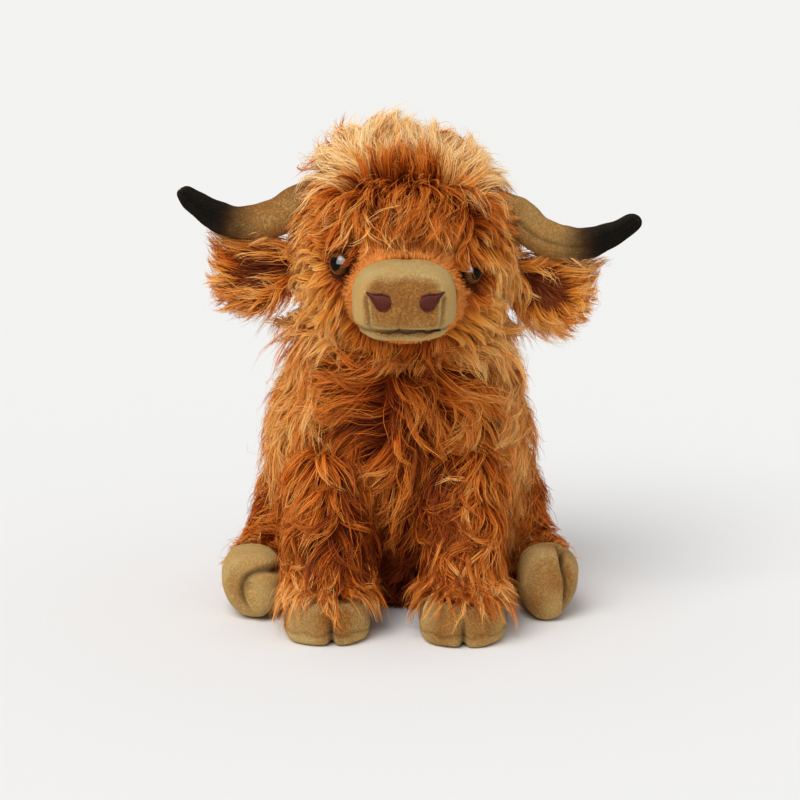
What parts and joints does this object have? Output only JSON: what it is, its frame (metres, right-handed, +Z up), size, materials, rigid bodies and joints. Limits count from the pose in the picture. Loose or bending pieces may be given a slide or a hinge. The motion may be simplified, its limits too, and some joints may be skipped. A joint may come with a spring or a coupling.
{
  "type": "plush cow",
  "caption": "Seated long-haired highland cow soft toy with horns, cloven hooves, safety eyes and sewn limbs that give at their seams.",
  "frame": {"origin": "the middle of the flat seat panel, on the surface that the toy sits on", "axes": "+Z up from the seat, -Y the way the toy faces, -X the side on the left of somebody who looks at its face"},
  "size_m": [0.2255, 0.2131, 0.2468],
  "materials": {
    "long_pile": "matte",
    "pale_pile": "matte",
    "short_pile": "matte",
    "tan_plush": "matte",
    "dark_lining": "matte",
    "thread": "satin",
    "eye_plastic": "gloss",
    "white_nylon": "satin",
    "bag_cloth": "matte"
  },
  "bodies": {
    "torso": {"body": "long_pile", "seat_panel": "short_pile", "pellet_bag": "bag_cloth"},
    "head": {"head": "long_pile", "forelock": "pale_pile", "nose_bridge": "short_pile", "muzzle": "tan_plush", "lower_lip": "tan_plush", "mouth_stitch": "thread", "nostril_left": "thread", "nostril_right": "thread", "eye_left": "eye_plastic", "eye_right": "eye_plastic", "eye_washer_left": "white_nylon", "eye_washer_right": "white_nylon", "horn_left": "tan_plush", "horn_right": "tan_plush"},
    "ear_left": {"ear_left": "long_pile", "ear_lining_left": "dark_lining"},
    "ear_right": {"ear_right": "long_pile", "ear_lining_right": "dark_lining"},
    "front_leg_left": {"front_leg_left": "long_pile", "front_hoof_left": "tan_plush"},
    "front_leg_right": {"front_leg_right": "long_pile", "front_hoof_right": "tan_plush"},
    "hind_leg_left": {"hind_leg_left": "long_pile", "hind_hoof_left": "tan_plush"},
    "hind_leg_right": {"hind_leg_right": "long_pile", "hind_hoof_right": "tan_plush"},
    "tail": {"tail": "long_pile", "tail_tuft": "pale_pile"}
  },
  "joints": [
    {"name": "head_turn", "type": "hinge", "parent": "torso", "child": "head", "pos_m": [0, -0.035, 0.136], "axis": [0, 0, 1], "range_deg": [-30, 30], "stiffness_Nm_per_rad": 0.2},
    {"name": "ear_left_swing", "type": "hinge", "parent": "head", "child": "ear_left", "pos_m": [-0.04714, -0.03447, 0.1762], "axis": [0.0645, 0, 0.9979], "range_deg": [-25, 25], "stiffness_Nm_per_rad": 0.01},
    {"name": "ear_right_swing", "type": "hinge", "parent": "head", "child": "ear_right", "pos_m": [0.05193, -0.03447, 0.16979], "axis": [0.0645, 0, 0.9979], "range_deg": [-25, 25], "stiffness_Nm_per_rad": 0.01},
    {"name": "front_leg_left_swing", "type": "hinge", "parent": "torso", "child": "front_leg_left", "pos_m": [-0.035, -0.06063, 0.072], "axis": [-1, 0, 0], "range_deg": [0, 35], "stiffness_Nm_per_rad": 0.08},
    {"name": "front_leg_right_swing", "type": "hinge", "parent": "torso", "child": "front_leg_right", "pos_m": [0.03, -0.06326, 0.072], "axis": [-1, 0, 0], "range_deg": [0, 35], "stiffness_Nm_per_rad": 0.08},
    {"name": "hind_leg_left_lift", "type": "hinge", "parent": "torso", "child": "hind_leg_left", "pos_m": [-0.05525, 0.001, 0.036], "axis": [-1, 0, 0], "range_deg": [0, 30], "stiffness_Nm_per_rad": 0.08},
    {"name": "hind_leg_right_lift", "type": "hinge", "parent": "torso", "child": "hind_leg_right", "pos_m": [0.05525, 0.001, 0.036], "axis": [-1, 0, 0], "range_deg": [0, 30], "stiffness_Nm_per_rad": 0.08},
    {"name": "tail_lift", "type": "hinge", "parent": "torso", "child": "tail", "pos_m": [0, 0.04493, 0.058], "axis": [1, 0, 0], "range_deg": [0, 60], "stiffness_Nm_per_rad": 0.005}
  ]
}
